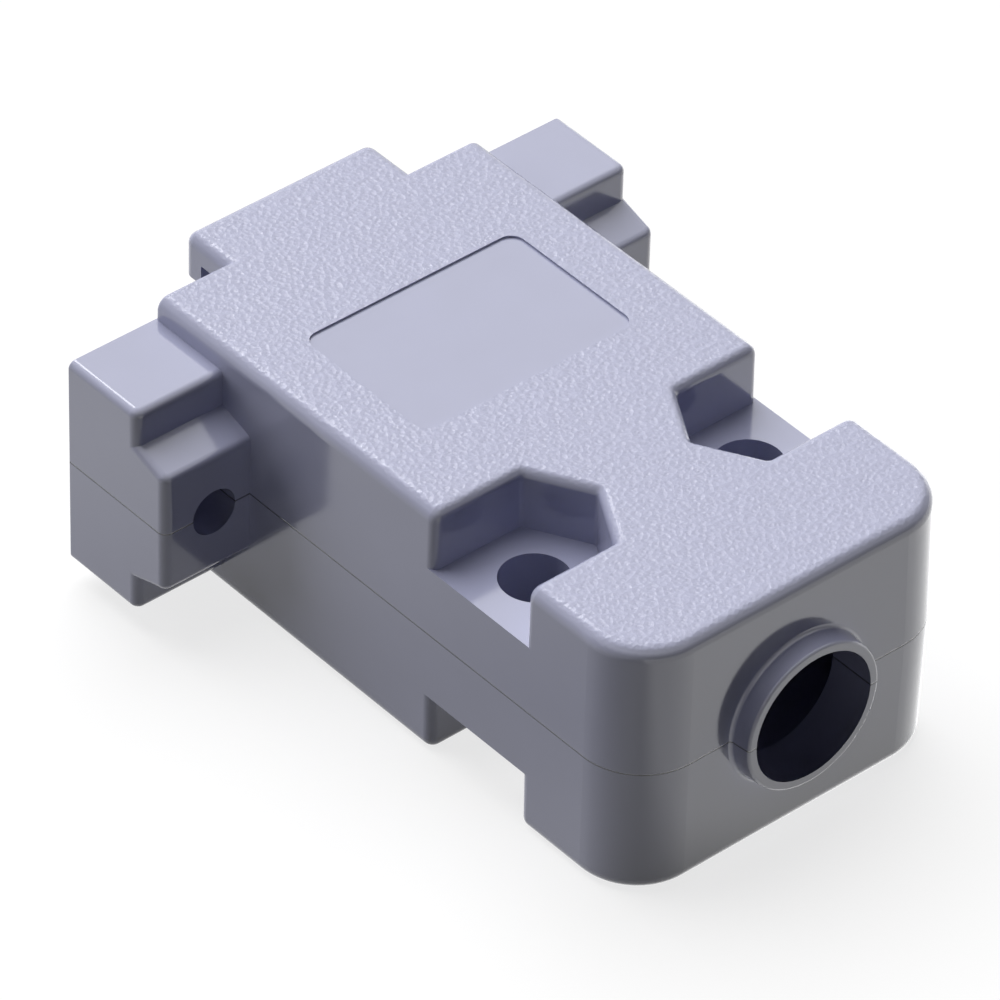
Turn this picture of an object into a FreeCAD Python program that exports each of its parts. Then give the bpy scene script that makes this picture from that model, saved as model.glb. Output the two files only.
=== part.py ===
import FreeCAD, Part
import os
import re

import Sketcher
from FreeCAD import Rotation, Vector

# A two-shell plastic hood for a nine-way D-sub connector, lying flat with the cable exit towards -Y.
# The two half shells are one moulding used twice. They meet in a plane at mid height and enclose
# a two-strap cable clamp. Everything is drawn in the seam frame: X across the hood, Y from the
# rear face towards the connector, Z up from the seam. A placement then stands it on its base.

SIZES = [
    # Connector interface
    ("jack_spacing", 24.99),
    ("jack_hole_radius", 1.3),
    ("flange_height", 12.1),
    ("flange_slot", 1.9),
    ("flange_clearance", 0.05),
    ("seat_width", 19.6),
    ("seat_height", 11.0),
    ("seat_depth", 4.8),
    # Main body of the hood
    ("body_width", 20.6),
    ("body_length", 35.45),
    ("body_height", 14.86),
    ("rear_corner_radius", 3.5),
    ("top_edge_radius", 0.7),
    ("front_edge_radius", 0.2),
    ("mould_draft", 0.8),
    ("side_wall", 1.5),
    ("rear_wall", 1.5),
    ("roof", 1.5),
    # Ears that carry the jackscrews
    ("ear_span", 31.15),
    ("ear_length", 7.32),
    ("ear_height", 6.18),
    ("ear_top_length", 5.15),
    ("ledge_front_height", 4.14),
    ("ledge_rear_height", 3.47),
    ("ear_corner_radius", 0.5),
    ("ear_edge_radius", 0.4),
    # Hook over the edge of the connector's flange
    ("visor_width", 11.75),
    ("lip_thickness", 1.35),
    ("lip_depth", 2.48),
    ("visor_edge_radius", 0.6),
    # Cable exit
    ("cable_radius", 3.6),
    ("collar_wall", 0.5),
    ("collar_stand", 1.15),
    ("collar_flare", 0.1),
    ("collar_foot_radius", 0.18),
    ("collar_edge_radius", 0.15),
    # Case screws: a hexagonal pocket in each half, open to the side, with a hole in its floor
    ("case_screw_spacing", 13.5),
    ("case_screw_back", 11.25),
    ("case_screw_hole_radius", 1.8),
    ("case_boss_radius", 2.9),
    ("pocket_across_flats", 6.6),
    ("pocket_floor_height", 3.94),
    ("pocket_wall", 1.2),
    ("pocket_corner_radius", 0.3),
    ("pocket_edge_radius", 0.5),
    # Smooth label recess
    ("label_width", 13.3),
    ("label_length", 9.1),
    ("label_back", 24.1),
    ("label_corner_radius", 0.8),
    ("label_depth", 0.12),
    # Locating peg and socket on the seam
    ("peg_spacing", 14.2),
    ("peg_back", 26.0),
    ("peg_radius", 0.8),
    ("peg_length", 1.4),
    ("peg_clearance", 0.1),
    ("peg_boss_radius", 1.8),
    # Cable clamp: two bent steel straps, two screws and two nuts
    ("clamp_back", 19.7),
    ("strap_width", 5.5),
    ("strap_thickness", 0.8),
    ("strap_end_margin", 1.9),
    ("strap_corner_radius", 0.8),
    ("strap_bend_radius", 0.4),
    ("strap_clearance", 0.05),
    ("strap_side_clearance", 0.15),
    ("strap_rib_thickness", 1.55),
    ("strap_rib_clearance", 0.4),
    ("clamp_screw_radius", 1.0),
    ("clamp_screw_length", 5.0),
    ("clamp_hole_clearance", 0.15),
    ("thread_clearance", 0.05),
    ("head_radius", 1.8),
    ("head_height", 1.3),
    ("head_edge_radius", 0.4),
    ("drive_slot_width", 0.5),
    ("drive_slot_depth", 0.6),
    ("nut_across_flats", 4.0),
    ("nut_thickness", 1.6),
    ("nut_side_clearance", 0.1),
    ("nut_wall_clearance", 0.09),
    ("nut_arch_clearance", 0.29),
]

doc = FreeCAD.newDocument("dsub_hood")
sheet = doc.addObject("Spreadsheet::Sheet", "sizes")
for row, (alias, value) in enumerate(SIZES, start=1):
    sheet.set(f"A{row}", alias)
    sheet.set(f"B{row}", str(value))
    sheet.setAlias(f"B{row}", alias)
doc.recompute()


def in_sheet(expression):
    """Spell an expression in size names with the sheet's own name before each of them."""
    aliases = "|".join(alias for alias, value in SIZES)
    return re.sub(rf"\b({aliases})\b", r"sizes.\1", expression)


def value_of(expression):
    """The number that an expression in size names comes to."""
    result = sheet.evalExpression(expression)
    return float(getattr(result, "Value", result))


def bind(feature, prop, expression):
    feature.setExpression(prop, in_sheet(expression))


# Places that several pieces share, as expressions in the sizes
HALF_HEIGHT = "body_height / 2"
CAVITY_HALF_WIDTH = "body_width / 2 - side_wall"
CAVITY_HEIGHT = "body_height / 2 - roof"
VISOR_REACH = "( flange_slot + lip_thickness )"
LENGTH_SHIFT = f"( collar_stand - body_length - {VISOR_REACH} ) / 2"
LEAN = f"{HALF_HEIGHT} * tan(mould_draft * 1 deg)"
EAR_REAR = "body_length - ear_length"
EAR_STEP = "body_length - ear_top_length"
SEAT_REAR = "body_length - seat_depth"
HEX_CORNER = "/ 2 / cos(30 deg)"
HEX_SHOULDER = "/ 2 * tan(30 deg)"
TROUGH_HALF_WIDTH = "( strap_width / 2 + strap_side_clearance )"
NUT_SLOT_HALF_WIDTH = "( nut_across_flats / 2 + nut_side_clearance )"
NUT_CORNER = f"nut_across_flats {HEX_CORNER}"
CLAMP_SCREW_OUT = f"( {CAVITY_HALF_WIDTH} - nut_wall_clearance - {NUT_CORNER} )"
ARCH_OUTSIDE = f"( {CLAMP_SCREW_OUT} - {NUT_CORNER} - nut_arch_clearance )"
ARCH_INSIDE = f"( {ARCH_OUTSIDE} - strap_thickness )"


def plane_of(body, role):
    for feature in body.Origin.OriginFeatures:
        if feature.Role == role:
            return feature
    raise RuntimeError(f"no origin plane {role}")


def new_sketch(body, name, role, offset=None):
    """A sketch on one of the body's origin planes, lifted along the plane's normal by offset."""
    sketch = body.newObject("Sketcher::SketchObject", name)
    sketch.AttachmentSupport = [(plane_of(body, role), "")]
    sketch.MapMode = "FlatFace"
    if offset:
        bind(sketch, "AttachmentOffset.Base.z", offset)
    return sketch


def place(sketch, geometry, position, axis, expression):
    """Hold one coordinate of a point at an expression, measured from the sketch's origin."""
    number = value_of(expression)
    kind = "DistanceX" if axis == 0 else "DistanceY"
    if number < 0:
        ends = (geometry, position, -1, 1)
        expression = f"- ( {expression} )"
    else:
        ends = (-1, 1, geometry, position)
    index = sketch.addConstraint(Sketcher.Constraint(kind, *ends, abs(number)))
    if number == 0:
        return
    bind(sketch, f"Constraints[{index}]", expression)


def add_stretch(sketch, start, end, centre, clockwise):
    """A line, or an arc if it has a centre. Returns its index and the places of its two ends."""
    if centre is None:
        return sketch.addGeometry(Part.LineSegment(start, end), False), 1, 2
    ring = Part.Circle(centre, Vector(0, 0, 1), start.distanceToPoint(centre))
    first, last = (end, start) if clockwise else (start, end)
    arc = Part.ArcOfCircle(ring, ring.parameter(first), ring.parameter(last))
    index = sketch.addGeometry(arc, False)
    return (index, 2, 1) if clockwise else (index, 1, 2)


def outline(sketch, corners, arcs=None):
    """A closed outline through corners, each a pair of expressions.

    The stretch that leaves corner number n is straight, or an arc if arcs holds n: then
    arcs[n] gives the centre's two expressions, the axis on which the centre is held, and
    whether the arc runs clockwise.
    """
    arcs = arcs or {}
    points = [Vector(value_of(x), value_of(y), 0) for x, y in corners]
    stretches = []
    for step, start in enumerate(points):
        end = points[(step + 1) % len(points)]
        centre, clockwise = None, False
        if step in arcs:
            centre_x, centre_y, axis, clockwise = arcs[step]
            centre = Vector(value_of(centre_x), value_of(centre_y), 0)
        stretches.append(add_stretch(sketch, start, end, centre, clockwise))
    for step, (index, start_at, end_at) in enumerate(stretches):
        following, next_at, unused = stretches[(step + 1) % len(stretches)]
        sketch.addConstraint(Sketcher.Constraint("Coincident", index, end_at, following, next_at))
        place(sketch, index, start_at, 0, corners[step][0])
        place(sketch, index, start_at, 1, corners[step][1])
        if step in arcs:
            axis = arcs[step][2]
            place(sketch, index, 3, axis, arcs[step][axis])


def box_outline(sketch, left, right, low, high):
    outline(sketch, [(left, low), (right, low), (right, high), (left, high)])


def circle(sketch, x, y, radius):
    centre = Vector(value_of(x), value_of(y), 0)
    index = sketch.addGeometry(Part.Circle(centre, Vector(0, 0, 1), value_of(radius)), False)
    place(sketch, index, 3, 0, x)
    place(sketch, index, 3, 1, y)
    ring = sketch.addConstraint(Sketcher.Constraint("Radius", index, value_of(radius)))
    bind(sketch, f"Constraints[{ring}]", radius)


def rebuild():
    """Recompute the document and stop at the first feature that failed."""
    doc.recompute()
    for item in doc.Objects:
        if "Invalid" in item.State or "Error" in item.State:
            raise RuntimeError(f"{item.Name} failed: {item.State} {item.getStatusString()}")


def volume_of(body):
    rebuild()
    return body.Shape.Volume


def extrude(body, kind, name, sketch, length, side="One side", reverse=False):
    """Pad or pocket a sketch, and stop if it changed nothing."""
    before = volume_of(body) if body.Tip else 0.0
    feature = body.newObject(f"PartDesign::{kind}", name)
    feature.Profile = sketch
    feature.SideType = side
    feature.Reversed = reverse
    bind(feature, "Length", length)
    change = volume_of(body) - before
    wanted = 1 if kind == "Pad" else -1
    if change * wanted <= 1e-6:
        raise RuntimeError(f"{name} changed nothing: {change}")
    return feature


def revolve(body, name, sketch, angle, reverse=False):
    feature = body.newObject("PartDesign::Revolution", name)
    feature.Profile = sketch
    feature.ReferenceAxis = (sketch, ["V_Axis"])
    feature.Angle = angle
    feature.Reversed = reverse
    rebuild()
    return feature


def lies_at(edge, x=None, y=None, z=None, reach=0.02):
    """Whether an edge keeps to the given distance from the middle plane, Y and Z, or ranges."""
    middle = edge.valueAt((edge.FirstParameter + edge.LastParameter) / 2)
    for point in [vertex.Point for vertex in edge.Vertexes] + [middle]:
        for value, target in ((abs(point.x), x), (point.y, y), (point.z, z)):
            if target is None:
                continue
            low, high = target if isinstance(target, tuple) else (target, target)
            if not low - reach <= value <= high + reach:
                return False
    return True


def round_edges(body, name, radius, *places):
    """Fillet the edges of the body's newest shape that lie at any of the places."""
    base = body.Tip
    names = [
        f"Edge{number}" for number, edge in enumerate(base.Shape.Edges, start=1)
        if any(lies_at(edge, **place) for place in places)
    ]
    if not names:
        raise RuntimeError(f"{name} found no edge")
    fillet = body.newObject("PartDesign::Fillet", name)
    fillet.Base = (base, names)
    bind(fillet, "Radius", radius)
    rebuild()
    return fillet


def draft_faces(body, name, half_width, rear=None):
    """Lean the upright faces at a half width, and at the rear, inwards above the seam."""
    base = body.Tip
    names = []
    for number, face in enumerate(base.Shape.Faces, start=1):
        centre = face.CenterOfMass
        at_rear = rear is not None and abs(centre.y - rear) < 0.001
        if abs(abs(centre.x) - half_width) < 0.001 or at_rear:
            names.append(f"Face{number}")
    draft = body.newObject("PartDesign::Draft", name)
    draft.Base = (base, names)
    draft.NeutralPlane = (plane_of(body, "XY_Plane"), [""])
    bind(draft, "Angle", "mould_draft")
    rebuild()
    return draft


def new_body(label, x="0", y="0", z="0"):
    """A body whose own origin lies at a point of the seam frame, with the hood on its base."""
    body = doc.addObject("PartDesign::Body", label)
    body.Label = label
    bind(body, ".Placement.Base.x", x)
    bind(body, ".Placement.Base.y", f"{LENGTH_SHIFT} + {y}")
    bind(body, ".Placement.Base.z", f"{HALF_HEIGHT} + {z}")
    return body


def add_block(body):
    """The main block, leaning in slightly above the seam, with rounded rear corners and rim."""
    plan = new_sketch(body, "body_plan", "XY_Plane")
    box_outline(plan, "- body_width / 2", "body_width / 2", "0", "body_length")
    extrude(body, "Pad", "body_block", plan, HALF_HEIGHT)
    half_width = value_of("body_width / 2")
    draft_faces(body, "body_draft", half_width, rear=0)
    lean = value_of(LEAN)
    round_edges(
        body, "rear_corners", "rear_corner_radius",
        {"x": (half_width - lean, half_width), "y": (0, lean)},
    )
    round_edges(body, "rim", "top_edge_radius", {"x": half_width - lean, "z": value_of(HALF_HEIGHT)})
    round_edges(
        body, "front_rim", "front_edge_radius",
        {"x": (0, half_width), "y": value_of("body_length"), "z": value_of(HALF_HEIGHT)},
    )


def add_visor(body):
    """The hook that reaches over the edge of the connector's flange."""
    reach_in = "body_length - side_wall"
    outline_across = new_sketch(body, "visor_profile", "XZ_Plane", f"- ( {reach_in} )")
    side = "visor_width / 2"
    lip = f"{HALF_HEIGHT} - lip_depth"
    shoulder = f"{HALF_HEIGHT} - visor_edge_radius"
    corners = [
        (f"- {side}", lip),
        (side, lip),
        (side, shoulder),
        (f"{side} - visor_edge_radius", HALF_HEIGHT),
        (f"- ( {side} - visor_edge_radius )", HALF_HEIGHT),
        (f"- {side}", shoulder),
    ]
    rounds = {
        2: (f"{side} - visor_edge_radius", shoulder, 0, False),
        4: (f"- ( {side} - visor_edge_radius )", shoulder, 0, False),
    }
    outline(outline_across, corners, rounds)
    extrude(body, "Pad", "visor", outline_across, f"side_wall + {VISOR_REACH}", reverse=True)
    half_width = value_of(side)
    front = value_of(f"body_length + {VISOR_REACH}")
    round_edges(body, "visor_front", "visor_edge_radius", {"x": half_width, "y": front})

    slot = new_sketch(body, "flange_slot_side", "YZ_Plane")
    slot_top = "flange_height / 2 + flange_clearance"
    box_outline(slot, "body_length", "body_length + flange_slot", f"{lip} - lip_thickness", slot_top)
    extrude(body, "Pocket", "flange_slot", slot, "2 * visor_width", "Symmetric")


def add_ears(body):
    """The ears that the jackscrews pass through, lower than the body and stepped at the rear."""
    side = new_sketch(body, "ear_side", "YZ_Plane")
    outline(side, [
        (EAR_REAR, "0"),
        ("body_length", "0"),
        ("body_length", "ear_height"),
        (EAR_STEP, "ear_height"),
        (EAR_STEP, "ledge_front_height"),
        (EAR_REAR, "ledge_rear_height"),
    ])
    extrude(body, "Pad", "ears", side, "ear_span", "Symmetric")
    outside = value_of("ear_span / 2")
    wing = (value_of("body_width / 2") - 2 * value_of(LEAN), outside)
    rear = value_of(EAR_REAR)
    step = value_of(EAR_STEP)
    top = value_of("ear_height")
    round_edges(
        body, "ear_corners", "ear_corner_radius",
        {"x": outside, "y": rear},
        {"x": outside, "y": step},
    )
    round_edges(
        body, "ear_rims", "ear_edge_radius",
        {"x": outside, "z": top},
        {"x": wing, "y": step, "z": top},
        {"x": wing, "y": rear, "z": value_of("ledge_rear_height")},
    )


def cut_case_pockets(body):
    """Hexagonal pockets for the case screws' heads and nuts, open to the hood's sides."""
    low = "case_screw_back - pocket_across_flats / 2"
    high = "case_screw_back + pocket_across_flats / 2"
    inner = f"case_screw_spacing / 2 - pocket_across_flats {HEX_CORNER}"
    shoulder = f"case_screw_spacing / 2 - pocket_across_flats {HEX_SHOULDER}"
    for name, sign in (("left", "-"), ("right", "")):
        plan = new_sketch(body, f"pocket_plan_{name}", "XY_Plane", HALF_HEIGHT)
        open_side = f"{sign} ( body_width / 2 + side_wall )"
        outline(plan, [
            (f"{sign} ( {inner} )", "case_screw_back"),
            (f"{sign} ( {shoulder} )", low),
            (open_side, low),
            (open_side, high),
            (f"{sign} ( {shoulder} )", high),
        ])
        extrude(body, "Pocket", f"screw_pocket_{name}", plan, f"{HALF_HEIGHT} - pocket_floor_height")

    floor = value_of("pocket_floor_height")
    top = value_of(HALF_HEIGHT)
    round_edges(
        body, "pocket_corners", "pocket_corner_radius",
        {"x": value_of(inner), "y": value_of("case_screw_back")},
        {"x": value_of(shoulder), "y": value_of(low)},
        {"x": value_of(shoulder), "y": value_of(high)},
    )
    side = value_of("body_width / 2")
    reach_in = value_of(inner)
    round_edges(
        body, "pocket_rims", "pocket_edge_radius",
        {"x": (reach_in, side), "y": (value_of(low), value_of(high)), "z": top},
        {"x": (value_of(shoulder), side), "y": value_of(low), "z": (floor + 0.1, top)},
        {"x": (value_of(shoulder), side), "y": value_of(high), "z": (floor + 0.1, top)},
        {"x": (side - 1, side), "y": value_of(low), "z": (floor, top)},
        {"x": (side - 1, side), "y": value_of(high), "z": (floor, top)},
    )


def hollow_out(body):
    """The wiring space, and the wider mouth that takes the back of the connector."""
    plan = new_sketch(body, "cavity_plan", "XY_Plane")
    box_outline(
        plan, f"- ( {CAVITY_HALF_WIDTH} )", CAVITY_HALF_WIDTH, "rear_wall", f"{SEAT_REAR} + side_wall",
    )
    extrude(body, "Pocket", "cavity", plan, CAVITY_HEIGHT, reverse=True)
    round_edges(
        body, "cavity_rear_corners", "rear_corner_radius - side_wall",
        {"x": value_of(CAVITY_HALF_WIDTH), "y": value_of("rear_wall")},
    )

    mouth = new_sketch(body, "seat_plan", "XY_Plane")
    box_outline(mouth, "- seat_width / 2", "seat_width / 2", SEAT_REAR, "body_length + rear_wall")
    extrude(body, "Pocket", "connector_seat", mouth, "seat_height / 2", reverse=True)


def add_case_bosses(body):
    """Walls and floors round the screw pockets, and round bosses from there down to the seam."""
    grown = "( pocket_across_flats + 2 * pocket_wall )"
    under = "pocket_floor_height - pocket_wall"
    for name, sign in (("left", "-"), ("right", "")):
        plan = new_sketch(body, f"pocket_wall_plan_{name}", "XY_Plane", under)
        inner = f"{sign} ( case_screw_spacing / 2 - {grown} {HEX_CORNER} )"
        shoulder = f"{sign} ( case_screw_spacing / 2 - {grown} {HEX_SHOULDER} )"
        outer = f"{sign} ( body_width / 2 - side_wall / 2 )"
        low = f"case_screw_back - {grown} / 2"
        high = f"case_screw_back + {grown} / 2"
        outline(plan, [
            (inner, "case_screw_back"),
            (shoulder, low),
            (outer, low),
            (outer, high),
            (shoulder, high),
        ])
        extrude(body, "Pad", f"pocket_walls_{name}", plan, f"{HALF_HEIGHT} - roof / 2 - ( {under} )")

    bosses = new_sketch(body, "boss_plan", "XY_Plane")
    circle(bosses, "- case_screw_spacing / 2", "case_screw_back", "case_boss_radius")
    circle(bosses, "case_screw_spacing / 2", "case_screw_back", "case_boss_radius")
    extrude(body, "Pad", "case_bosses", bosses, "pocket_floor_height - pocket_wall / 2")


def add_clamp_seat(body):
    """Four notched ribs: a strap's ends lie in their notches, its nuts and heads between them."""
    ribs = new_sketch(body, "clamp_rib_plan", "XY_Plane")
    outer = "( body_width / 2 - side_wall / 2 )"
    inner = f"( {ARCH_OUTSIDE} + strap_rib_clearance )"
    for left, right in ((f"- {outer}", f"- {inner}"), (inner, outer)):
        for sign in ("-", "+"):
            near_edge = f"clamp_back {sign} {NUT_SLOT_HALF_WIDTH}"
            far_edge = f"clamp_back {sign} {NUT_SLOT_HALF_WIDTH} {sign} strap_rib_thickness"
            box_outline(ribs, left, right, near_edge, far_edge)
    extrude(body, "Pad", "clamp_ribs", ribs, f"{HALF_HEIGHT} - roof / 2")

    trough = new_sketch(body, "strap_trough_plan", "XY_Plane")
    box_outline(
        trough, f"- ( {CAVITY_HALF_WIDTH} )", CAVITY_HALF_WIDTH,
        f"clamp_back - {TROUGH_HALF_WIDTH}", f"clamp_back + {TROUGH_HALF_WIDTH}",
    )
    extrude(
        body, "Pocket", "strap_trough", trough, "strap_thickness + strap_clearance", reverse=True,
    )


def add_locating_peg(body):
    """A peg on the left and a socket on the right, so that two equal halves find each other."""
    bosses = new_sketch(body, "peg_boss_plan", "XY_Plane")
    circle(bosses, "- peg_spacing / 2", "peg_back", "peg_boss_radius")
    circle(bosses, "peg_spacing / 2", "peg_back", "peg_boss_radius")
    extrude(body, "Pad", "peg_bosses", bosses, f"{HALF_HEIGHT} - roof / 2")

    peg = new_sketch(body, "peg_plan", "XY_Plane")
    circle(peg, "- peg_spacing / 2", "peg_back", "peg_radius")
    extrude(body, "Pad", "peg", peg, "peg_length", reverse=True)

    socket = new_sketch(body, "socket_plan", "XY_Plane")
    circle(socket, "peg_spacing / 2", "peg_back", "peg_radius + peg_clearance")
    extrude(body, "Pocket", "socket", socket, "peg_length + peg_clearance", reverse=True)


def cut_label_recess(body):
    plan = new_sketch(body, "label_plan", "XY_Plane", HALF_HEIGHT)
    low = "label_back - label_length / 2"
    high = "label_back + label_length / 2"
    box_outline(plan, "- label_width / 2", "label_width / 2", low, high)
    extrude(body, "Pocket", "label_recess", plan, "label_depth")
    side = value_of("label_width / 2")
    round_edges(
        body, "label_corners", "label_corner_radius",
        {"x": side, "y": value_of(low)},
        {"x": side, "y": value_of(high)},
    )


def add_collar_and_bore(body):
    """A short flared half ring at the cable exit, and the half-round way through it."""
    profile = new_sketch(body, "collar_profile", "XY_Plane")
    tip = "cable_radius + collar_wall"
    neck = f"{tip} + collar_flare"
    inset = f"{tip} - collar_edge_radius"
    below = "collar_edge_radius - collar_stand"
    outline(profile, [
        ("0", "- collar_stand"),
        (inset, "- collar_stand"),
        (tip, below),
        (neck, "0"),
        (neck, "rear_wall / 2"),
        ("0", "rear_wall / 2"),
    ], {1: (inset, below, 0, False)})
    revolve(body, "collar", profile, 180, reverse=True)
    reach = value_of(neck)
    round_edges(
        body, "collar_foot", "collar_foot_radius",
        {"x": (0, reach), "y": (0, value_of(LEAN)), "z": (0, reach)},
    )

    bore = new_sketch(body, "bore_profile", "XZ_Plane")
    circle(bore, "0", "0", "cable_radius")
    extrude(body, "Pocket", "cable_bore", bore, "2 * ( body_length + collar_stand )", "Symmetric")


def drill_screw_holes(body):
    """Holes for the case screws, and the half-round ways for the jackscrews along the ears."""
    plan = new_sketch(body, "case_hole_plan", "XY_Plane")
    circle(plan, "- case_screw_spacing / 2", "case_screw_back", "case_screw_hole_radius")
    circle(plan, "case_screw_spacing / 2", "case_screw_back", "case_screw_hole_radius")
    extrude(body, "Pocket", "case_screw_holes", plan, HALF_HEIGHT, reverse=True)

    ways = new_sketch(body, "jack_profile", "XZ_Plane")
    circle(ways, "- jack_spacing / 2", "0", "jack_hole_radius")
    circle(ways, "jack_spacing / 2", "0", "jack_hole_radius")
    extrude(body, "Pocket", "jackscrew_ways", ways, "2 * ( body_length + collar_stand )", "Symmetric")


def same_again(label, pattern, x="0", y="0", z="0"):
    """A second piece of the same make as a body that is already drawn."""
    body = new_body(label, x, y, z)
    body.BaseFeature = pattern
    rebuild()
    return body


def turned_over(label, pattern):
    """The same piece again, half a turn about the hood's long axis, so that its top faces down."""
    body = same_again(label, pattern)
    body.Placement.Rotation = Rotation(Vector(0, 1, 0), 180)
    return body


def make_shell(label):
    body = new_body(label)
    add_block(body)
    add_visor(body)
    add_ears(body)
    hollow_out(body)
    add_case_bosses(body)
    cut_case_pockets(body)
    add_clamp_seat(body)
    add_locating_peg(body)
    cut_label_recess(body)
    add_collar_and_bore(body)
    drill_screw_holes(body)
    return body


def make_clamp_strap(label):
    """A steel strap with two flat ends and an arch in between that presses on the cable."""
    body = new_body(label)
    profile = new_sketch(body, "strap_profile", "XZ_Plane", "- clamp_back")
    end = f"( {CLAMP_SCREW_OUT} + strap_end_margin )"
    foot = f"sqrt( {ARCH_OUTSIDE} * {ARCH_OUTSIDE} - strap_thickness * strap_thickness )"
    corners = [
        (f"- {end}", "0"),
        (f"- {ARCH_INSIDE}", "0"),
        (ARCH_INSIDE, "0"),
        (end, "0"),
        (end, "strap_thickness"),
        (foot, "strap_thickness"),
        (f"- {foot}", "strap_thickness"),
        (f"- {end}", "strap_thickness"),
    ]
    outline(profile, corners, {1: ("0", "0", 1, True), 5: ("0", "0", 1, False)})
    extrude(body, "Pad", "strap", profile, "strap_width", "Symmetric")
    edges = [value_of(f"clamp_back {sign} strap_width / 2") for sign in "-+"]
    round_edges(
        body, "strap_ends", "strap_corner_radius",
        {"x": value_of(end), "y": edges[0]},
        {"x": value_of(end), "y": edges[1]},
    )
    round_edges(
        body, "strap_bends", "strap_bend_radius",
        {"x": value_of(foot), "z": value_of("strap_thickness")},
        {"x": value_of(ARCH_INSIDE), "z": 0},
    )

    holes = new_sketch(body, "strap_hole_plan", "XY_Plane")
    hole_radius = "clamp_screw_radius + clamp_hole_clearance"
    circle(holes, f"- {CLAMP_SCREW_OUT}", "clamp_back", hole_radius)
    circle(holes, CLAMP_SCREW_OUT, "clamp_back", hole_radius)
    extrude(body, "Pocket", "strap_holes", holes, "4 * strap_thickness", "Symmetric")
    return body


def make_clamp_screw(label, *place):
    """A slotted pan-head screw, drawn about its own axis from under its head."""
    body = new_body(label, *place)
    profile = new_sketch(body, "screw_profile", "XZ_Plane")
    outline(profile, [
        ("0", "- clamp_screw_length"),
        ("clamp_screw_radius", "- clamp_screw_length"),
        ("clamp_screw_radius", "0"),
        ("head_radius", "0"),
        ("head_radius", "head_height"),
        ("0", "head_height"),
    ])
    revolve(body, "screw", profile, 360)
    round_edges(body, "head_edge", "head_edge_radius", {"z": value_of("head_height")})
    slot = new_sketch(body, "drive_plan", "XY_Plane", "head_height")
    box_outline(slot, "- 2 * head_radius", "2 * head_radius", "- drive_slot_width / 2", "drive_slot_width / 2")
    extrude(body, "Pocket", "drive_slot", slot, "drive_slot_depth")
    return body


def make_clamp_nut(label, *place):
    """A hexagonal nut with flats towards the hood's ends, so that its slot keeps it from turning."""
    body = new_body(label, *place)
    plan = new_sketch(body, "nut_plan", "XY_Plane")
    shoulder = f"nut_across_flats {HEX_SHOULDER}"
    flat = "nut_across_flats / 2"
    outline(plan, [
        (NUT_CORNER, "0"),
        (shoulder, flat),
        (f"- {shoulder}", flat),
        (f"- {NUT_CORNER}", "0"),
        (f"- {shoulder}", f"- {flat}"),
        (shoulder, f"- {flat}"),
    ])
    extrude(body, "Pad", "nut", plan, "nut_thickness", reverse=True)
    hole = new_sketch(body, "nut_hole_plan", "XY_Plane")
    circle(hole, "0", "0", "clamp_screw_radius + thread_clearance")
    extrude(body, "Pocket", "nut_hole", hole, "nut_thickness")
    return body


def export(bodies):
    """Check each piece and write it to a file named after it."""
    rebuild()
    os.makedirs("parts", exist_ok=True)
    for body in bodies:
        shape = body.Shape
        if shape.isNull() or not shape.isValid() or len(shape.Solids) != 1:
            raise RuntimeError(f"{body.Label} is not one sound solid")
    for body in bodies:
        body.Shape.exportStep(f"parts/{body.Label}.step")
        print(f"{body.Label}: {body.Shape.Volume:.1f} mm3")


def main():
    upper_shell = make_shell("upper_shell")
    lower_shell = turned_over("lower_shell", upper_shell)
    upper_strap = make_clamp_strap("upper_clamp_strap")
    lower_strap = turned_over("lower_clamp_strap", upper_strap)
    pieces = [upper_shell, lower_shell, upper_strap, lower_strap]

    left, right = f"- {CLAMP_SCREW_OUT}", CLAMP_SCREW_OUT
    for name, make, height in (
        ("clamp_screw", make_clamp_screw, "strap_thickness"),
        ("clamp_nut", make_clamp_nut, "( - strap_thickness )"),
    ):
        first = make(f"left_{name}", left, "clamp_back", height)
        pieces += [first, same_again(f"right_{name}", first, right, "clamp_back", height)]
    export(pieces)


if __name__ == "__main__":
    main()
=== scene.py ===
import math

import bpy
import numpy as np
from bpy.props import FloatProperty, FloatVectorProperty, PointerProperty
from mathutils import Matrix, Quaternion, Vector


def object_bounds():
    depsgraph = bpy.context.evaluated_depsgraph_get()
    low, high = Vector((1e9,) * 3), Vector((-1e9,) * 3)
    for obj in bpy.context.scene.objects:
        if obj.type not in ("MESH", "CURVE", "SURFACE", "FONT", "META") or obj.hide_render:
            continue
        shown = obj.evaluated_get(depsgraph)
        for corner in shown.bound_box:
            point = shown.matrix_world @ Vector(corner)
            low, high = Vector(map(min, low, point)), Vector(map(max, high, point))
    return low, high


bl_info = {
    "name": "D-sub hood",
    "version": (1, 0, 0),
    "blender": (4, 5, 0),
    "location": "View3D > Sidebar > Hood",
    "description": "Dresses a packed D-sub hood in moulded plastic and plated steel and sets its stage",
    "category": "Object",
}

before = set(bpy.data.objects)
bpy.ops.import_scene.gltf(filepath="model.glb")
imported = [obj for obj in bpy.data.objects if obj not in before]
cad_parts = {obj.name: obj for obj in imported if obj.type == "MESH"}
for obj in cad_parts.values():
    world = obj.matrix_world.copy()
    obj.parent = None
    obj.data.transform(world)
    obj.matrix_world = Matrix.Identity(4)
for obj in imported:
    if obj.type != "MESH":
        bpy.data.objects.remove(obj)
cad_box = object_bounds()

MM = 0.001
SHELLS = ("upper_shell", "lower_shell")
STRAPS = ("upper_clamp_strap", "lower_clamp_strap")
SCREWS = ("left_clamp_screw", "right_clamp_screw")
NUTS = ("left_clamp_nut", "right_clamp_nut")

# Height of the seam above the floor and of the top above the seam, in mm
SEAM_HEIGHT = (cad_box[0].z + cad_box[1].z) / 2 / MM
TOP_HEIGHT = (cad_box[1].z - cad_box[0].z) / 2 / MM

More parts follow.
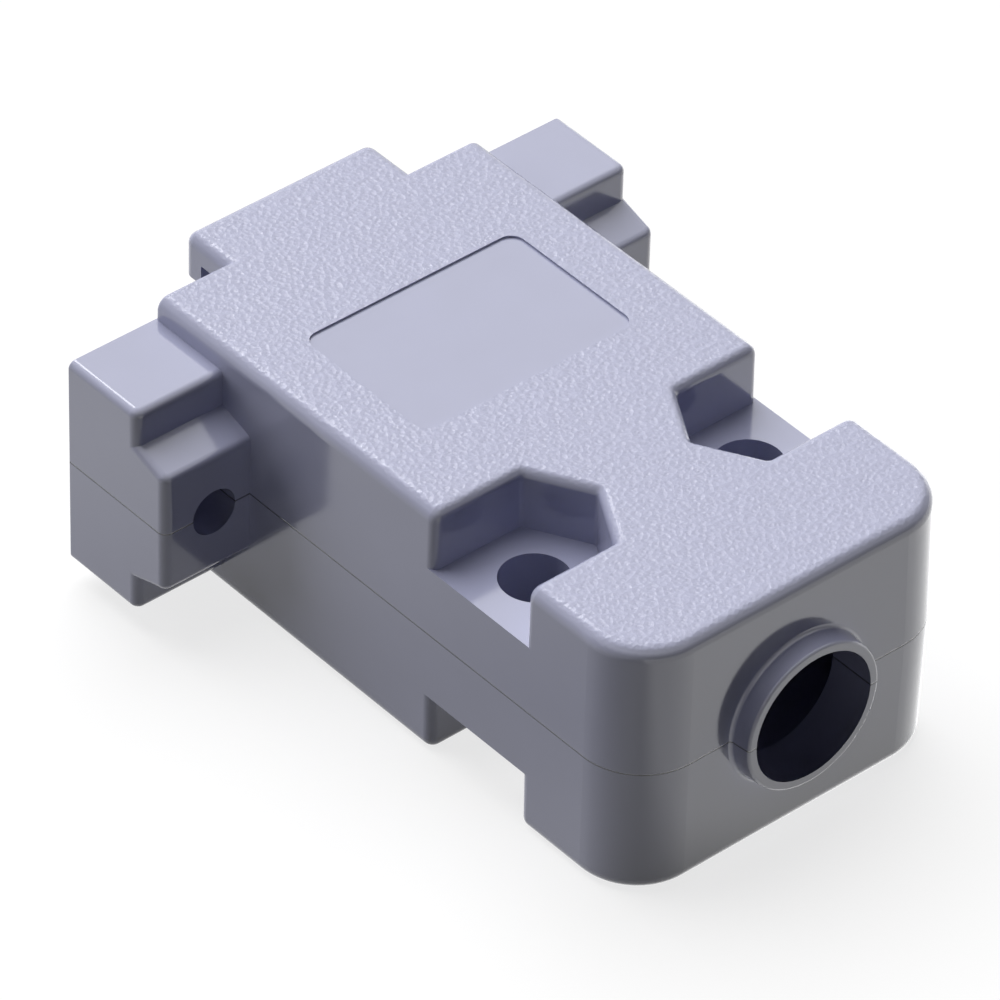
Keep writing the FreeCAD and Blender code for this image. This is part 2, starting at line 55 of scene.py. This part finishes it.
# Values of a noise between which nearly all of it lies
NOISE_LEVELS = (0.2, 0.8)

# Distances in mm: the fade at the border of the grain, and a depth less than the label recess's
BORDER_FADE = 0.02
LABEL_STEP = 0.1

# The two parts of the grain's height, the size of its pits in grains, and its tints from low to high
FINE_SHARE = 0.45
PIT_SHARE = 0.8
PIT_SIZE = 2.0
GRAIN_LEVELS = (0.3, 0.75)
GRAIN_TINTS = (0.95, 1.03)

# The moulding's slow change of colour and gloss, and the faint unevenness of its skin, with sizes in mm
FLOW_SIZE = 2.5
FLOW_TINTS = (0.98, 1.02)
SKIN_SIZE = 0.35
SKIN_HEIGHT = 0.01

# Roughness of the smooth plastic, from and to, and what the grain adds
SMOOTH_ROUGHNESS = (0.10, 0.14)
GRAIN_ROUGHNESS = 0.10
PLASTIC_IOR = 1.54

# The line between the halves: its colour, how much of it shows, its depth in mm, and the share of its
# width that has the full depth
SEAM_COLOUR = (0.02, 0.02, 0.025, 1.0)
SEAM_SHARE = 0.8
SEAM_DEPTH = 0.03
SEAM_FLAT = 0.4

# Brush marks in the steel: their scale along the mark, their depth in mm and how far they bend normals
BRUSH_STRETCH = 0.06
BRUSH_DEPTH = 0.004
BRUSH_STRENGTH = 0.6

# The steel's plating: size in mm of its clouds, their tints, and roughness by the marks and the clouds
PLATING_SIZE = 0.9
PLATING_TINTS = (0.90, 1.08)
STEEL_ROUGHNESS = (0.26, 0.40)
PLATING_ROUGHNESS = 0.05

# The floor: its corners, how much spreading light it throws back, what the camera gets on top of that
# and as glow, and its brightness in mirrors, by the distance x - y in mm
FLOOR_CORNERS = 64
FLOOR_SPREAD = 0.2
FLOOR_EXTRA = 0.05
FLOOR_GLOW = 0.76
FLOOR_IN_MIRRORS = ((-50, 1.35), (-30, 1.05), (-12, 0.78), (9, 1.08), (20, 1.9), (45, 2.05))
WHITE = (1.0, 1.0, 1.0, 1.0)

# Name, azimuth, elevation and spread of each light, in degrees
LIGHTS = (("top_light", 165, 60, 60), ("left_light", -140, 14, 40))

# Cosines of the angles at which a patch of the sky starts and is full, and heights for the ceiling
WALL_EDGE = (0.72, 0.92)
SPOT_EDGE = (0.985, 0.995)
CEILING_EDGE = (0.35, 0.75)

# The camera's sensor in mm, and the nearest and farthest that it sees in metres
SENSOR_WIDTH = 36.0
NEAREST = 0.01
FARTHEST = 50.0


class PlasticSettings(bpy.types.PropertyGroup):
    """The moulded plastic of the two shells."""

    colour: FloatVectorProperty(
        name="Plastic colour", description="Colour of the moulded plastic",
        subtype="COLOR", size=3, min=0, max=1, default=(0.335, 0.345, 0.475),
    )
    grain_size: FloatProperty(
        name="Grain size", description="Width of one grain of the eroded texture",
        unit="LENGTH", precision=5, min=0.02 * MM, default=0.14 * MM,
    )
    grain_depth: FloatProperty(
        name="Grain depth", description="Height of the eroded texture",
        unit="LENGTH", precision=6, min=0, default=0.037 * MM,
    )
    textured_from: FloatProperty(
        name="Texture height", description="Distance below the top where the texture starts",
        unit="LENGTH", precision=5, min=0, default=0.2 * MM,
    )
    seam_width: FloatProperty(
        name="Seam width", description="Width of the line where the halves meet",
        unit="LENGTH", precision=5, min=0, default=0.12 * MM,
    )
    label_width: FloatProperty(
        name="Label width", description="Width of the smooth label recess",
        unit="LENGTH", precision=5, default=13.3 * MM,
    )
    label_length: FloatProperty(
        name="Label length", description="Length of the smooth label recess",
        unit="LENGTH", precision=5, default=9.1 * MM,
    )
    label_middle: FloatProperty(
        name="Label place", description="Place of the recess's middle along the hood",
        unit="LENGTH", precision=6, default=5.325 * MM,
    )


class SteelSettings(bpy.types.PropertyGroup):
    """The plated steel of the cable clamp."""

    strap_colour: FloatVectorProperty(
        name="Strap colour", description="Colour of the strap's plating",
        subtype="COLOR", size=3, min=0, max=1, default=(0.44, 0.44, 0.43),
    )
    screw_colour: FloatVectorProperty(
        name="Screw colour", description="Colour of the screws' and nuts' plating",
        subtype="COLOR", size=3, min=0, max=1, default=(0.48, 0.46, 0.41),
    )
    brush_size: FloatProperty(
        name="Brush size", description="Distance between brush marks",
        unit="LENGTH", precision=5, min=0.01 * MM, default=0.08 * MM,
    )


class StageSettings(bpy.types.PropertyGroup):
    """Floor, light and camera."""

    azimuth: FloatProperty(
        name="Azimuth", description="Angle of the camera round the hood",
        subtype="ANGLE", default=math.radians(-41.502),
    )
    elevation: FloatProperty(
        name="Elevation", description="Angle of the camera above the horizon",
        subtype="ANGLE", default=math.radians(39.839),
    )
    roll: FloatProperty(
        name="Roll", description="Turn of the camera about its own axis",
        subtype="ANGLE", default=math.radians(1.698),
    )
    distance: FloatProperty(
        name="Distance", description="Distance from the camera to its target",
        default=0.420258, unit="LENGTH",
    )
    target: FloatVectorProperty(
        name="Target", description="Point that the camera looks at", subtype="XYZ", unit="LENGTH",
        default=(-0.001296, 0.001286, 0.007556),
    )
    lens_ratio: FloatProperty(
        name="Lens ratio", description="Focal length over the width of the sensor", default=8.7106,
    )
    floor_radius: FloatProperty(
        name="Floor radius", description="Radius of the round floor", default=4.0, unit="LENGTH",
    )
    top_light: FloatProperty(
        name="Top light", description="Strength of the wide light from above", default=3.5,
    )
    left_light: FloatProperty(
        name="Left light", description="Strength of the low light from the left and behind", default=1.1,
    )
    sky_level: FloatProperty(
        name="Sky level", description="Light that comes from all round", default=0.01,
    )
    wall_azimuth: FloatProperty(
        name="Wall azimuth", description="Angle of the bright wall that the top mirrors",
        subtype="ANGLE", default=math.radians(138.7),
    )
    wall_elevation: FloatProperty(
        name="Wall elevation", description="Angle of that wall's middle above the horizon",
        subtype="ANGLE", default=math.radians(35.0),
    )
    wall_level: FloatProperty(
        name="Wall level", description="Brightness that the wall adds in mirrors", default=0.85,
    )
    spot_azimuth: FloatProperty(
        name="Spot azimuth", description="Angle of the lamp that the grain sparkles with",
        subtype="ANGLE", default=math.radians(158.0),
    )
    spot_elevation: FloatProperty(
        name="Spot elevation", description="Angle of that lamp above the horizon",
        subtype="ANGLE", default=math.radians(44.0),
    )
    spot_level: FloatProperty(
        name="Spot level", description="Brightness of that lamp in mirrors", default=7.2,
    )
    ceiling_level: FloatProperty(
        name="Ceiling level", description="Brightness of the ceiling in mirrors", default=2.05,
    )


def dress(names, material):
    """Give the material to each CAD node."""
    for name in names:
        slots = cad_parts[name].data.materials
        slots.clear()
        slots.append(material)


def new_material(name):
    """A material with nothing but a principled shader and its output."""
    material = bpy.data.materials.new(name)
    material.use_nodes = True
    return material, material.node_tree, material.node_tree.nodes["Principled BSDF"]


def add_node(tree, kind, inputs=None, **settings):
    """A shader node. Each input is a socket to link or a plain value to set."""
    node = tree.nodes.new(kind)
    for key, value in settings.items():
        setattr(node, key, value)
    for key, value in (inputs or {}).items():
        if isinstance(value, bpy.types.NodeSocket):
            tree.links.new(value, node.inputs[key])
        else:
            node.inputs[key].default_value = value
    return node


def maths(tree, operation, *values):
    """The result of one operation on sockets or plain values."""
    return add_node(tree, "ShaderNodeMath", dict(enumerate(values)), operation=operation).outputs[0]


def step_up(tree, value, low, high, start=0.0, end=1.0):
    """A smooth change from start to end while the value goes from low to high."""
    inputs = {"Value": value, "From Min": low, "From Max": high, "To Min": start, "To Max": end}
    node = add_node(tree, "ShaderNodeMapRange", inputs, interpolation_type="SMOOTHSTEP")
    return node.outputs["Result"]


def mix_colours(tree, share, first, second):
    """The first colour where the share is 0, the second where it is 1."""
    node = add_node(tree, "ShaderNodeMix", data_type="RGBA", blend_type="MIX")
    sockets = {socket.identifier: socket for socket in node.inputs}
    for key, value in (("Factor_Float", share), ("A_Color", first), ("B_Color", second)):
        if isinstance(value, bpy.types.NodeSocket):
            tree.links.new(value, sockets[key])
        else:
            sockets[key].default_value = value
    return next(socket for socket in node.outputs if socket.identifier == "Result_Color")


def millimetres(tree):
    """Object coordinates in mm, as a vector and as its three parts."""
    place = add_node(tree, "ShaderNodeTexCoord").outputs["Object"]
    scale = {0: place, "Scale": 1 / MM}
    vector = add_node(tree, "ShaderNodeVectorMath", scale, operation="SCALE").outputs["Vector"]
    parts = add_node(tree, "ShaderNodeSeparateXYZ", {0: vector}).outputs
    return vector, parts["X"], parts["Y"], parts["Z"]


def noise(tree, vector, size, detail=2.0, roughness=0.5):
    """Smooth random values from 0 to 1 that change over about one size in mm."""
    inputs = {"Vector": vector, "Scale": 1 / size, "Detail": detail, "Roughness": roughness}
    return add_node(tree, "ShaderNodeTexNoise", inputs).outputs[0]


def cells(tree, vector, size):
    """Distance to the nearest of many scattered points, about one size in mm apart."""
    inputs = {"Vector": vector, "Scale": 1 / size}
    return add_node(tree, "ShaderNodeTexVoronoi", inputs).outputs["Distance"]


def bump(tree, height, strength, depth, normal=None, inwards=False):
    """Normals that follow a height map, whose full height is a depth in mm."""
    inputs = {"Height": height, "Strength": strength, "Distance": depth * MM}
    if normal is not None:
        inputs["Normal"] = normal
    return add_node(tree, "ShaderNodeBump", inputs, invert=inwards).outputs[0]


def ramp(tree, value, levels):
    """Goes smoothly through the levels, each a pair of a value and its result, in rising order."""
    first, last = levels[0][0], levels[-1][0]
    highest = max(level for _, level in levels)
    inputs = {"Value": value, "From Min": first, "From Max": last}
    share = add_node(tree, "ShaderNodeMapRange", inputs)
    node = add_node(tree, "ShaderNodeValToRGB", {0: share.outputs["Result"]})
    node.color_ramp.interpolation = "EASE"
    stops = node.color_ramp.elements
    for index, (place, level) in enumerate(levels):
        stop = stops[index] if index < 2 else stops.new(1.0)
        stop.position = (place - first) / (last - first)
        stop.color = (*[level / highest] * 3, 1.0)
    return maths(tree, "MULTIPLY", node.outputs["Color"], highest)


def tints(tree, share, colour, factors):
    """Goes from the colour times the first factor to the colour times the second as the share rises."""
    ends = [(*(min(1.0, part * factor) for part in colour), 1.0) for factor in factors]
    return mix_colours(tree, share, *ends)


def ray_kinds(tree):
    """Two values of 1 or 0: a ray straight from the camera, and one by way of a mirror or a glass."""
    rays = add_node(tree, "ShaderNodeLightPath").outputs
    mirrored = maths(tree, "MAXIMUM", rays["Is Glossy Ray"], rays["Is Transmission Ray"])
    return rays["Is Camera Ray"], mirrored


def direction(azimuth, elevation):
    """The unit vector that points to an azimuth and elevation."""
    flat = math.cos(elevation)
    return Vector((math.sin(azimuth) * flat, -math.cos(azimuth) * flat, math.sin(elevation)))


def plastic_material(settings):
    """Moulded plastic: an eroded grain on the top and bottom faces, smooth and glossy elsewhere."""
    material, tree, shader = new_material("grey_plastic_look")
    vector, x, y, z = millimetres(tree)
    height = maths(tree, "ABSOLUTE", maths(tree, "SUBTRACT", z, SEAM_HEIGHT))

    top = TOP_HEIGHT - BORDER_FADE
    upper = step_up(tree, height, TOP_HEIGHT - settings.textured_from / MM, top)
    half_width, half_length = settings.label_width / 2 / MM, settings.label_length / 2 / MM
    from_middle = maths(tree, "ABSOLUTE", maths(tree, "SUBTRACT", y, settings.label_middle / MM))
    across = step_up(tree, maths(tree, "ABSOLUTE", x), half_width, half_width + BORDER_FADE)
    along = step_up(tree, from_middle, half_length, half_length + BORDER_FADE)
    raised = step_up(tree, height, TOP_HEIGHT - LABEL_STEP, top)
    outside = maths(tree, "MAXIMUM", maths(tree, "MAXIMUM", across, along), raised)
    grained = maths(tree, "MULTIPLY", upper, outside)

    grain_size = settings.grain_size / MM
    fine = noise(tree, vector, grain_size, detail=3.0, roughness=0.6)
    pits = cells(tree, vector, grain_size * PIT_SIZE)
    fine_part = maths(tree, "MULTIPLY", fine, FINE_SHARE)
    grain = maths(tree, "ADD", fine_part, maths(tree, "MULTIPLY", pits, PIT_SHARE))
    flow = noise(tree, vector, FLOW_SIZE, roughness=0.4)
    skin = maths(tree, "MULTIPLY", noise(tree, vector, SKIN_SIZE), SKIN_HEIGHT)
    grain_height = maths(tree, "ADD", maths(tree, "MULTIPLY", grain, grained), skin)

    half_seam = settings.seam_width / 2 / MM
    groove = step_up(tree, height, half_seam * SEAM_FLAT, half_seam, 1.0, 0.0)

    speckled = tints(tree, step_up(tree, grain, *GRAIN_LEVELS), settings.colour, GRAIN_TINTS)
    plain = tints(tree, flow, settings.colour, FLOW_TINTS)
    surface = mix_colours(tree, grained, plain, speckled)
    colour = mix_colours(tree, maths(tree, "MULTIPLY", groove, SEAM_SHARE), surface, SEAM_COLOUR)

    smooth = step_up(tree, flow, *NOISE_LEVELS, *SMOOTH_ROUGHNESS)
    roughness = maths(tree, "ADD", smooth, maths(tree, "MULTIPLY", grained, GRAIN_ROUGHNESS))

    relief = bump(tree, grain_height, 1.0, settings.grain_depth / MM)
    cut = bump(tree, groove, 1.0, SEAM_DEPTH, relief, inwards=True)

    tree.links.new(colour, shader.inputs["Base Color"])
    tree.links.new(roughness, shader.inputs["Roughness"])
    tree.links.new(cut, shader.inputs["Normal"])
    shader.inputs["IOR"].default_value = PLASTIC_IOR
    return material


def steel_material(name, colour, brush_size, along):
    """Plated steel with brush marks along one axis, 0 for x to 2 for z, and a slightly uneven plating."""
    material, tree, shader = new_material(name)
    vector, _, _, _ = millimetres(tree)
    stretch = [1.0, 1.0, 1.0]
    stretch[along] = BRUSH_STRETCH
    drawn = add_node(tree, "ShaderNodeVectorMath", {0: vector, 1: stretch}, operation="MULTIPLY")
    marks = noise(tree, drawn.outputs["Vector"], brush_size / MM, detail=3.0, roughness=0.6)
    cloud = noise(tree, vector, PLATING_SIZE)
    tree.links.new(tints(tree, cloud, colour, PLATING_TINTS), shader.inputs["Base Color"])
    brushed = step_up(tree, marks, *NOISE_LEVELS, *STEEL_ROUGHNESS)
    roughness = maths(tree, "ADD", brushed, maths(tree, "MULTIPLY", cloud, PLATING_ROUGHNESS))
    tree.links.new(roughness, shader.inputs["Roughness"])
    tree.links.new(bump(tree, marks, BRUSH_STRENGTH, BRUSH_DEPTH), shader.inputs["Normal"])
    shader.inputs["Metallic"].default_value = 1.0
    return material


class HOOD_OT_shells(bpy.types.Operator):
    """Give both half shells their moulded plastic"""

    bl_idname = "hood.shells"
    bl_label = "Half shells"

    def execute(self, context):
        dress(SHELLS, plastic_material(context.scene.hood_plastic))
        return {"FINISHED"}


class HOOD_OT_clamp_straps(bpy.types.Operator):
    """Give the two clamp straps their brushed steel"""

    bl_idname = "hood.clamp_straps"
    bl_label = "Clamp straps"

    def execute(self, context):
        steel = context.scene.hood_steel
        look = steel_material("strap_steel_look", steel.strap_colour, steel.brush_size, along=0)
        dress(STRAPS, look)
        return {"FINISHED"}


class HOOD_OT_clamp_fasteners(bpy.types.Operator):
    """Give the clamp's screws and nuts their bright plating"""

    bl_idname = "hood.clamp_fasteners"
    bl_label = "Clamp screws and nuts"

    def execute(self, context):
        steel = context.scene.hood_steel
        look = steel_material("fastener_look", steel.screw_colour, steel.brush_size, along=2)
        dress(SCREWS + NUTS, look)
        return {"FINISHED"}


def floor_object(radius, height):
    """A flat disc: one face through a ring of points at equal angles round the origin, at one height."""
    angles = np.linspace(0, 2 * math.pi, FLOOR_CORNERS, endpoint=False)
    level = np.full(FLOOR_CORNERS, height)
    points = np.column_stack([radius * np.cos(angles), radius * np.sin(angles), level])
    mesh = bpy.data.meshes.new("floor")
    mesh.from_pydata(points.tolist(), [], [tuple(range(FLOOR_CORNERS))])
    floor = bpy.data.objects.new("floor", mesh)
    bpy.context.scene.collection.objects.link(floor)
    return floor


def floor_material():
    """Nearly white with a shadow to the camera, bright by place in mirrors, and else a dark grey."""
    material, tree, shader = new_material("floor_look")
    seen, mirrored = ray_kinds(tree)
    spread = maths(tree, "MULTIPLY", maths(tree, "SUBTRACT", 1.0, mirrored), FLOOR_SPREAD)
    lit = maths(tree, "ADD", spread, maths(tree, "MULTIPLY", seen, FLOOR_EXTRA))
    tree.links.new(lit, shader.inputs["Base Color"])
    _, x, y, _ = millimetres(tree)
    bright = ramp(tree, maths(tree, "SUBTRACT", x, y), FLOOR_IN_MIRRORS)
    in_mirrors = maths(tree, "MULTIPLY", mirrored, bright)
    glow = maths(tree, "ADD", in_mirrors, maths(tree, "MULTIPLY", seen, FLOOR_GLOW))
    tree.links.new(glow, shader.inputs["Emission Strength"])
    shader.inputs["Emission Color"].default_value = WHITE
    shader.inputs["Roughness"].default_value = 1.0
    shader.inputs["Specular IOR Level"].default_value = 0.0
    return material


def sky_patch(tree, way, middle, edge, level):
    """Brightness round one direction of the sky: none up to the first cosine, full at the second."""
    facing = add_node(tree, "ShaderNodeVectorMath", {0: way, 1: middle}, operation="DOT_PRODUCT")
    return step_up(tree, facing.outputs["Value"], *edge, 0.0, level)


def light_world(settings):
    """A dim sky for the light all round, a wall, a lamp and a ceiling for mirrors, and a white ground."""
    world = bpy.data.worlds.new("studio")
    world.use_nodes = True
    tree = world.node_tree
    way = add_node(tree, "ShaderNodeTexCoord").outputs["Generated"]
    height = add_node(tree, "ShaderNodeSeparateXYZ", {0: way}).outputs["Z"]
    wall_middle = direction(settings.wall_azimuth, settings.wall_elevation)
    wall = sky_patch(tree, way, wall_middle, WALL_EDGE, settings.wall_level)
    spot_middle = direction(settings.spot_azimuth, settings.spot_elevation)
    spot = sky_patch(tree, way, spot_middle, SPOT_EDGE, settings.spot_level)
    ceiling = step_up(tree, height, *CEILING_EDGE, 1.0, settings.ceiling_level)
    studio = maths(tree, "ADD", maths(tree, "ADD", wall, ceiling), spot)
    seen, mirrored = ray_kinds(tree)
    around = maths(tree, "MULTIPLY", maths(tree, "SUBTRACT", 1.0, mirrored), settings.sky_level)
    level = maths(tree, "ADD", around, maths(tree, "MULTIPLY", mirrored, studio))
    level = maths(tree, "MAXIMUM", level, seen)
    tree.links.new(level, tree.nodes["Background"].inputs["Strength"])
    tree.nodes["Background"].inputs["Color"].default_value = WHITE
    bpy.context.scene.world = world


def add_sun(name, azimuth, elevation, strength, spread):
    """A soft distant light that comes from an azimuth and elevation and seems as wide as its spread."""
    light = bpy.data.lights.new(name, "SUN")
    light.energy = strength
    light.angle = spread
    lamp = bpy.data.objects.new(name, light)
    lamp.rotation_mode = "QUATERNION"
    lamp.rotation_quaternion = (-direction(azimuth, elevation)).to_track_quat("-Z", "Y")
    lamp.visible_glossy = False
    bpy.context.scene.collection.objects.link(lamp)


def add_camera(settings):
    """A camera that looks at its target from an azimuth, elevation and distance, with a slight roll."""
    away = direction(settings.azimuth, settings.elevation)
    data = bpy.data.cameras.new("camera")
    data.sensor_width = SENSOR_WIDTH
    data.lens = settings.lens_ratio * SENSOR_WIDTH
    data.clip_start = NEAREST
    data.clip_end = FARTHEST
    camera = bpy.data.objects.new("camera", data)
    camera.location = Vector(settings.target) + away * settings.distance
    camera.rotation_mode = "QUATERNION"
    roll = Quaternion((0, 0, 1), settings.roll)
    camera.rotation_quaternion = (-away).to_track_quat("-Z", "Y") @ roll
    bpy.context.scene.collection.objects.link(camera)
    bpy.context.scene.camera = camera


class HOOD_OT_stage(bpy.types.Operator):
    """Set the white floor, the soft lights and the camera"""

    bl_idname = "hood.stage"
    bl_label = "Stage"

    def execute(self, context):
        settings = context.scene.hood_stage
        floor = floor_object(settings.floor_radius, cad_box[0].z)
        floor.data.materials.append(floor_material())
        light_world(settings)
        for name, *degrees in LIGHTS:
            azimuth, elevation, spread = map(math.radians, degrees)
            add_sun(name, azimuth, elevation, getattr(settings, name), spread)
        add_camera(settings)
        context.scene.view_settings.view_transform = "Standard"
        return {"FINISHED"}


class HOOD_PT_panel(bpy.types.Panel):
    """Lists the steps that dress the hood"""

    bl_idname = "HOOD_PT_panel"
    bl_label = "D-sub hood"
    bl_space_type = "VIEW_3D"
    bl_region_type = "UI"
    bl_category = "Hood"

    def draw(self, context):
        for operator in OPERATORS:
            self.layout.operator(operator.bl_idname)
        for group in (context.scene.hood_plastic, context.scene.hood_steel, context.scene.hood_stage):
            for key in group.__annotations__:
                self.layout.prop(group, key)


SETTINGS = {
    "hood_plastic": PlasticSettings,
    "hood_steel": SteelSettings,
    "hood_stage": StageSettings,
}
OPERATORS = (HOOD_OT_shells, HOOD_OT_clamp_straps, HOOD_OT_clamp_fasteners, HOOD_OT_stage)


def register():
    for group in (*SETTINGS.values(), *OPERATORS, HOOD_PT_panel):
        bpy.utils.register_class(group)
    for name, group in SETTINGS.items():
        setattr(bpy.types.Scene, name, PointerProperty(type=group))


def unregister():
    for name in SETTINGS:
        delattr(bpy.types.Scene, name)
    for group in (HOOD_PT_panel, *OPERATORS, *SETTINGS.values()):
        bpy.utils.unregister_class(group)


def main():
    register()
    bpy.ops.hood.shells()
    bpy.ops.hood.clamp_straps()
    bpy.ops.hood.clamp_fasteners()
    bpy.ops.hood.stage()


if __name__ == "__main__":
    main()
